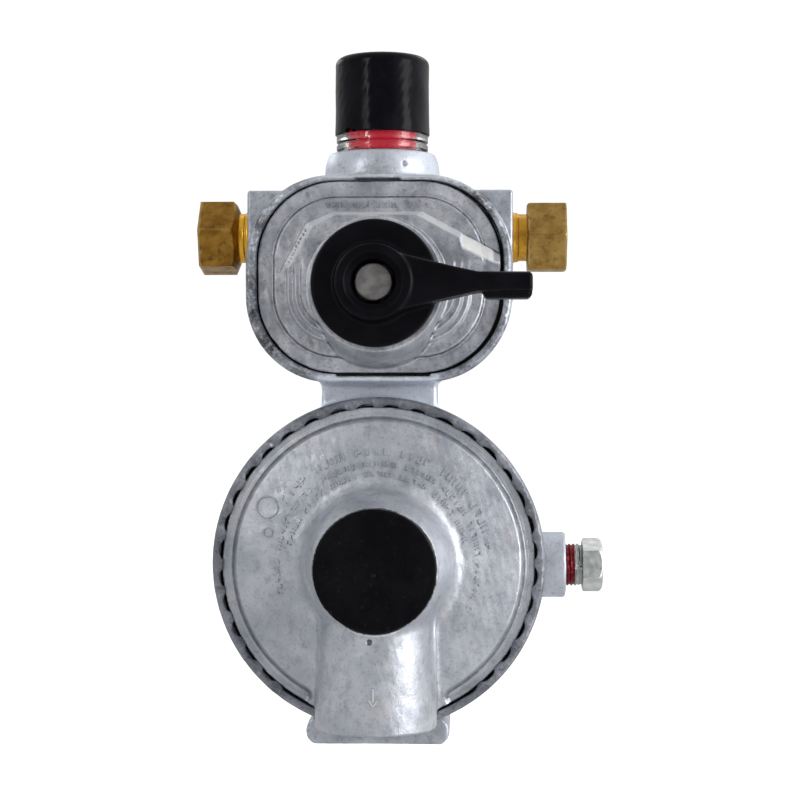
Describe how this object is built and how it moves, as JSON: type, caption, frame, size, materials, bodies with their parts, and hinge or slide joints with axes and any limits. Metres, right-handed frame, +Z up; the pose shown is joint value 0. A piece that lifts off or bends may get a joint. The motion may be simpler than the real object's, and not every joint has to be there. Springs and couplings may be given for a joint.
{
  "type": "propane changeover regulator",
  "caption": "Die-cast two-stage gas regulator with a selector lever, a coloured supply indicator, brass inlets, a downward vent and a threaded outlet.",
  "frame": {"origin": "on the back mounting pad's face, where the round second stage's axis meets it", "axes": "+Y out of the back towards the wall it hangs on, -Y the front, +X towards the right-hand inlet, +Z up to the indicator"},
  "size_m": [0.0961, 0.057, 0.162],
  "materials": {
    "cast_aluminium": "die cast, dull and mottled",
    "brass": "machined, dulled",
    "zinc_steel": "zinc plated",
    "black_plastic": "moulded, satin",
    "natural_plastic": "moulded",
    "red_plastic": "moulded, glossy",
    "green_plastic": "moulded, glossy",
    "clear_plastic": "clear",
    "black_rubber": "moulded"
  },
  "bodies": {
    "casting": {"main_body": "cast_aluminium", "first_stage_cover": "cast_aluminium", "second_stage_bonnet": "cast_aluminium", "left_inlet_fitting": "brass", "right_inlet_fitting": "brass", "left_inlet_filter": "brass", "right_inlet_filter": "brass", "left_inlet_valve_seat": "brass", "right_inlet_valve_seat": "brass", "left_poppet_spring": "zinc_steel", "right_poppet_spring": "zinc_steel", "first_stage_diaphragm": "black_rubber", "first_stage_spring": "zinc_steel", "first_stage_spring_seat": "zinc_steel", "indicator_window": "clear_plastic", "indicator_window_seal": "black_rubber", "indicator_cap": "black_plastic", "indicator_guide": "brass", "indicator_spring": "zinc_steel", "second_stage_diaphragm": "black_rubber", "second_stage_orifice": "brass", "valve_guide": "brass", "guide_screw_left": "zinc_steel", "guide_screw_right": "zinc_steel", "lever_pin": "zinc_steel", "main_spring": "zinc_steel", "pressure_tap_plug": "zinc_steel", "vent_screen": "zinc_steel", "vent_screen_ring": "zinc_steel"},
    "first_stage_plate": {"first_stage_diaphragm_plate": "zinc_steel", "spindle_seal": "black_rubber"},
    "selector": {"selector_knob": "black_plastic", "knob_retaining_ring": "zinc_steel"},
    "spindle": {"selector_spindle": "zinc_steel", "selector_cam": "zinc_steel"},
    "left_poppet": {"left_inlet_poppet": "brass", "left_poppet_disc": "black_rubber"},
    "right_poppet": {"right_inlet_poppet": "brass", "right_poppet_disc": "black_rubber"},
    "indicator": {"indicator_sleeve": "red_plastic", "indicator_green_band": "green_plastic", "indicator_piston": "natural_plastic", "indicator_piston_seal": "black_rubber"},
    "closing_cap": {"closing_cap": "black_plastic"},
    "adjuster_seat": {"adjuster_spring_seat": "zinc_steel"},
    "adjusting_screw": {"adjusting_screw": "natural_plastic"},
    "relief_stem": {"relief_stem": "zinc_steel", "relief_spring_nut": "brass", "relief_spring": "zinc_steel"},
    "second_stage_plate": {"second_stage_diaphragm_plate": "zinc_steel"},
    "valve_lever": {"valve_lever": "zinc_steel"},
    "disc_carrier": {"valve_disc_holder": "brass", "valve_disc": "black_rubber"}
  },
  "joints": [
    {"name": "selector_turn", "type": "hinge", "parent": "casting", "child": "selector", "pos_m": [0, -0.05, 0.0638], "axis": [0, -1, 0], "range_deg": [0, 180]},
    {"name": "spindle_slide", "type": "slide", "parent": "selector", "child": "spindle", "axis": [0, -1, 0], "range_m": [0, 0.0012]},
    {"name": "first_stage_travel", "type": "slide", "parent": "casting", "child": "first_stage_plate", "axis": [0, -1, 0], "range_m": [0, 0.0012], "stiffness_N_per_m": 2000, "springref_m": -0.004, "deforming": ["first_stage_diaphragm", "first_stage_spring"]},
    {"name": "left_poppet_lift", "type": "slide", "parent": "casting", "child": "left_poppet", "axis": [0, -1, 0], "range_m": [0, 0.001], "deforming": ["left_poppet_spring"]},
    {"name": "right_poppet_lift", "type": "slide", "parent": "casting", "child": "right_poppet", "axis": [0, -1, 0], "range_m": [0, 0.001], "deforming": ["right_poppet_spring"]},
    {"name": "indicator_rise", "type": "slide", "parent": "casting", "child": "indicator", "axis": [0, 0, 1], "range_m": [0, 0.0044], "stiffness_N_per_m": 60, "springref_m": -0.002, "deforming": ["indicator_spring"]},
    {"name": "closing_cap_pull", "type": "slide", "parent": "casting", "child": "closing_cap", "axis": [0, -1, 0], "range_m": [0, 0.012]},
    {"name": "adjuster_advance", "type": "slide", "parent": "casting", "child": "adjuster_seat", "axis": [0, 1, 0], "range_m": [-0.0015, 0.003]},
    {"name": "adjuster_turn", "type": "hinge", "parent": "adjuster_seat", "child": "adjusting_screw", "pos_m": [0, -0.0418, 0], "axis": [0, 1, 0], "range_deg": [-360, 720]},
    {"name": "second_stage_travel", "type": "slide", "parent": "casting", "child": "relief_stem", "axis": [0, -1, 0], "range_m": [0, 0.002], "stiffness_N_per_m": 500, "springref_m": -0.004, "deforming": ["second_stage_diaphragm", "main_spring"]},
    {"name": "relief_lift", "type": "slide", "parent": "relief_stem", "child": "second_stage_plate", "axis": [0, -1, 0], "range_m": [0, 0.001], "stiffness_N_per_m": 800, "springref_m": -0.002, "deforming": ["relief_spring"]},
    {"name": "lever_tilt", "type": "hinge", "parent": "casting", "child": "valve_lever", "pos_m": [0, -0.013, 0.012], "axis": [-1, 0, 0], "range_deg": [0, 8.7]},
    {"name": "valve_disc_lift", "type": "slide", "parent": "casting", "child": "disc_carrier", "axis": [0, 0, 1], "range_m": [0, 0.0007]}
  ],
  "couplings": [
    {"joint": "spindle_slide", "follows": "first_stage_travel", "ratio": 1},
    {"joint": "left_poppet_lift", "follows": "first_stage_travel", "ratio": 0.83},
    {"joint": "right_poppet_lift", "follows": "first_stage_travel", "ratio": 0.83},
    {"joint": "lever_tilt", "follows": "second_stage_travel", "rad_per_m": 75.2},
    {"joint": "valve_disc_lift", "follows": "second_stage_travel", "ratio": 0.338},
    {"joint": "adjuster_turn", "follows": "adjuster_advance", "rad_per_m": 4188.8}
  ]
}
